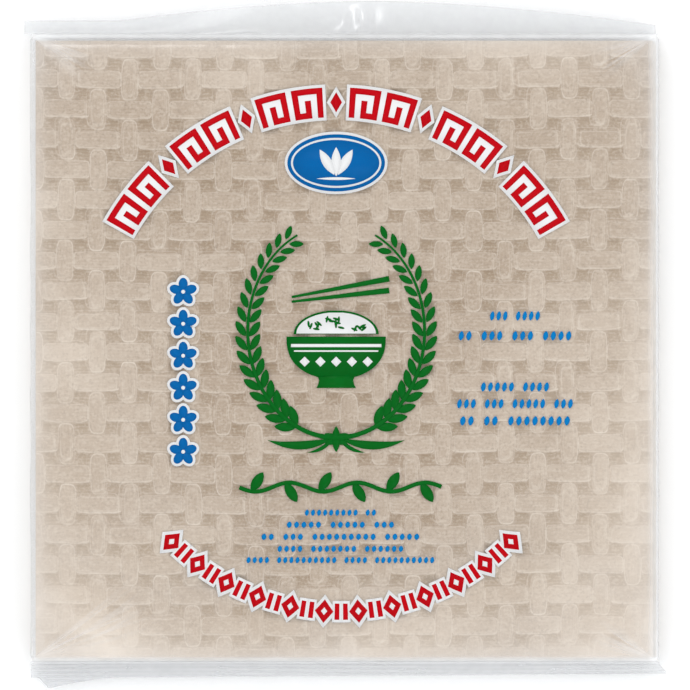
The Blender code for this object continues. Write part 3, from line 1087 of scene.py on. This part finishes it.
def creases(tree, x, y):
    """Creases that run out from the corners, where the film is gathered. Round each corner, a noise
    that changes with the angle and hardly with the way out passes its middle value along thin lines.
    Returns the milky lines, a painted highlight along each crease, and the clear ones beside them, a
    painted shade, longest at the lower left corner."""
    away_x, away_y = HALF_SIDE + 1 * MM - OnNodes.size(x), HALF_SIDE + 1 * MM - OnNodes.size(y)
    angle = away_y.math("ARCTAN2", away_x)
    far = (away_x * away_x + away_y * away_y).math("SQRT")
    side_x, side_y = x.math("SIGN"), y.math("SIGN")
    lower_left = OnNodes.unit(side_x * -1.0) * OnNodes.unit(side_y * -1.0)
    chance = tree.nodes.new("ShaderNodeTexNoise")
    chance.inputs["Scale"].default_value = 1.0
    chance.inputs["Detail"].default_value = 1.0
    join = tree.nodes.new("ShaderNodeCombineXYZ")
    tree.links.new((angle * 9.0).socket, join.inputs["X"])
    tree.links.new((far * 14.0).socket, join.inputs["Y"])
    tree.links.new((side_x * 1.7 + side_y * 3.1 + 9.3).socket, join.inputs["Z"])
    tree.links.new(join.outputs[0], chance.inputs["Vector"])
    offset = (Field(tree, chance.outputs["Fac"]) - 0.5) * far.math("MINIMUM", 30 * MM) * 26.0
    fan = OnNodes.unit(1.5 - OnNodes.size(angle - 0.47) * 4.5)
    reach = lower_left * 20 * MM + 22 * MM
    strength = fan * OnNodes.unit((1.1 - far / reach) * 2.5) * OnNodes.unit(far / (5 * MM))
    milky = OnNodes.unit(1 - OnNodes.size(offset) * 14.0)
    clear = OnNodes.unit(1 - OnNodes.size(offset - 0.09) * 14.0)
    return milky * strength, clear * strength


def clear_film():
    """Thin clear film: mostly transparent, a little milky as its veil says, with a gloss on top that
    fine waves break up. On the face the milk is whiter, partly a painted sheen of reflected light. On a
    fin, where layers are welded, the milk is greyer, partly a painted shade in place of the shaded floor
    seen through it, and has fine ribs. Fans of fine creases at the corners of the pack are painted as
    milky highlights with clearer shade beside them."""
    material, tree, shader = shader_of("clear_film")
    nodes, links = tree.nodes, tree.links
    shader.inputs["Roughness"].default_value = 0.35
    shader.inputs["Specular IOR Level"].default_value = 0.0
    clear = nodes.new("ShaderNodeBsdfTransparent")
    clear.inputs["Color"].default_value = (0.98, 0.984, 0.988, 1)
    gloss = nodes.new("ShaderNodeBsdfGlossy")
    gloss.inputs["Roughness"].default_value = 0.13
    facing = nodes.new("ShaderNodeLayerWeight")
    facing.inputs["Blend"].default_value = 0.5
    slant = Field(tree, facing.outputs["Facing"])
    mirror = slant ** 5.0 * 0.5 + 0.045
    milky, shiny = nodes.new("ShaderNodeMixShader"), nodes.new("ShaderNodeMixShader")
    fine = noise(tree, 150, 2)
    place = nodes.new("ShaderNodeTexCoord")
    parts = nodes.new("ShaderNodeSeparateXYZ")
    links.new(place.outputs["Object"], parts.inputs[0])
    x, y = Field(tree, parts.outputs["X"]), Field(tree, parts.outputs["Y"])
    veil_amount = nodes.new("ShaderNodeAttribute")
    veil_amount.attribute_name = "veil"
    fin = nodes.new("ShaderNodeAttribute")
    fin.attribute_name = "fin"
    on_fin = Field(tree, fin.outputs["Fac"])
    on_folded = OnNodes.unit(on_fin * 3) * OnNodes.unit(y * -100.0)
    wander = (x * 31.0).math("SINE") * 0.35 * MM
    rib = ((y + wander) * (2 * math.pi / (1.5 * MM))).math("SINE")
    ribbed = rib * OnNodes.unit((x * 57.0 + 2.0).math("SINE") * 0.5 + 0.6)
    # painted highlight and shade: milkier film along each crease, clearer film just beside it
    crease_highlight_line, crease_shade_line = creases(tree, x, y)
    amount = Field(tree, veil_amount.outputs["Fac"]) * (fine * 0.4 + 0.8)
    amount = amount * (1 + ribbed * on_folded * 0.22) * (1 - crease_shade_line * 0.8) + crease_highlight_line * 0.2
    # the milk's colour: whiter on the face, partly a painted sheen of reflected light; greyer on a fin, partly a
    # painted shade in place of the shaded floor seen through it
    colour = mixed(tree, on_fin, (0.88, 0.88, 0.885), (0.77, 0.77, 0.772))
    links.new(colour, shader.inputs["Base Color"])
    links.new(OnNodes.unit(amount).socket, milky.inputs["Fac"])
    links.new(clear.outputs[0], milky.inputs[1])
    links.new(shader.outputs[0], milky.inputs[2])
    links.new(mirror.socket, shiny.inputs["Fac"])
    links.new(milky.outputs[0], shiny.inputs[1])
    links.new(gloss.outputs[0], shiny.inputs[2])
    bump = nodes.new("ShaderNodeBump")
    bump.inputs["Distance"].default_value = 0.12 * MM
    bump.inputs["Strength"].default_value = 0.2
    links.new(fine.socket, bump.inputs["Height"])
    links.new(bump.outputs["Normal"], gloss.inputs["Normal"])
    output = nodes["Material Output"]
    links.new(shiny.outputs[0], output.inputs["Surface"])
    return material


def ink(name, colour, thin):
    """Printing ink: one strong colour with a faint mottle, glossy under the film's own gloss."""
    material, tree, shader = shader_of(name)
    mottle = noise(tree, 500, 3)
    mix = mixed(tree, OnNodes.unit((mottle - 0.4) * 2.5) * 0.35, colour, thin)
    tree.links.new(mix, shader.inputs["Base Color"])
    shader.inputs["Roughness"].default_value = 0.3
    shader.inputs["Specular IOR Level"].default_value = 0.06
    bumped(tree, shader, mottle, 0.03 * MM, 0.3)
    return material


# ---------------------------------------------------------------- floor, lights and camera


def stage_floor():
    """A wide plain floor just under the pack, with a soft mottle that hardly shows."""
    material, tree, shader = shader_of("floor")
    mottle = noise(tree, 6, 2)
    tree.links.new(mixed(tree, mottle, (0.97, 0.97, 0.97), (0.99, 0.99, 0.99)), shader.inputs["Base Color"])
    shader.inputs["Roughness"].default_value = 0.9
    half = 12.0
    line = np.linspace(-half, half, 5)
    y, x = np.meshgrid(line, line, indexing="ij")
    points = np.stack([x, y, np.full_like(x, -0.1 * MM)], -1)
    floor = new_piece("floor", points, [grid_faces(5, 5)], material)


def area_light(name, place, aim, size, power):
    light = bpy.data.lights.new(name, "AREA")
    light.shape = "DISK"
    light.size = size
    light.energy = power
    lamp = bpy.data.objects.new(name, light)
    lamp.location = place
    toward = [there - here for there, here in zip(aim, place)]
    from mathutils import Vector
    lamp.rotation_euler = Vector(toward).to_track_quat("-Z", "Y").to_euler()
    bpy.context.scene.collection.objects.link(lamp)


def lights():
    world = bpy.data.worlds.new("studio")
    world.use_nodes = True
    background = world.node_tree.nodes["Background"]
    background.inputs["Color"].default_value = (0.97, 0.985, 1.0, 1)
    background.inputs["Strength"].default_value = 1.1
    bpy.context.scene.world = world
    area_light("key", (-0.5, 0.95, 0.95), (0, 0, 0), 1.0, 3.2)
    area_light("fill", (0.9, -0.9, 1.0), (0, 0, 0), 1.2, 3.0)
    area_light("glint", (-0.13, 0.3, 1.6), (0, 0, 0), 0.14, 0.4)


def camera():
    """Looks straight down on the middle of the pack, whose length fills the view."""
    middle = (LOW + HIGH) / 2
    view_width = (HIGH.y - LOW.y) * 1.0
    distance = 5.0
    data = bpy.data.cameras.new("camera")
    data.sensor_width = 36
    data.lens = data.sensor_width * distance / view_width
    eye = bpy.data.objects.new("camera", data)
    eye.location = (middle.x, middle.y, HIGH.z + distance)
    bpy.context.scene.collection.objects.link(eye)
    bpy.context.scene.camera = eye
    bpy.context.scene.view_settings.view_transform = "Standard"


# ---------------------------------------------------------------- everything together


def main():
    film = film_bag(clear_film())
    paper, rims = woven_paper(), paper_rims()
    half = SHEET_COUNT // 2
    stack = [
        outer_sheet("top_sheet", paper, 290, upwards=True),
        outer_sheet("bottom_sheet", paper, 200, upwards=False),
        inner_sheets("lower_sheets", rims, list(range(1, half)), seed=1),
        inner_sheets("upper_sheets", rims, list(range(half, SHEET_COUNT - 1)), seed=2),
    ]
    design = Print()
    for motif in (top_band, low_band, blue_oval, blossom_column, grain_lines, wreath, bowl, garland):
        motif(design)
    inks = {
        "red": ink("red_ink", (0.46, 0.0, 0.004), (0.52, 0.0, 0.008)),
        "green": ink("green_ink", (0.0, 0.108, 0.008), (0.0, 0.135, 0.018)),
        "blue": ink("blue_ink", (0.0, 0.108, 0.34), (0.0, 0.13, 0.39)),
        "sky": ink("sky_ink", (0.0, 0.17, 0.46), (0.0, 0.21, 0.52)),
        "white": ink("white_ink", (0.73, 0.73, 0.73), (0.79, 0.785, 0.78)),
    }
    prints = list(design.pieces(inks))
    for piece in [film, *stack, *prints]:
        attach(piece, "root")
        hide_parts(NODE)
    stage_floor()
    lights()
    camera()


main()
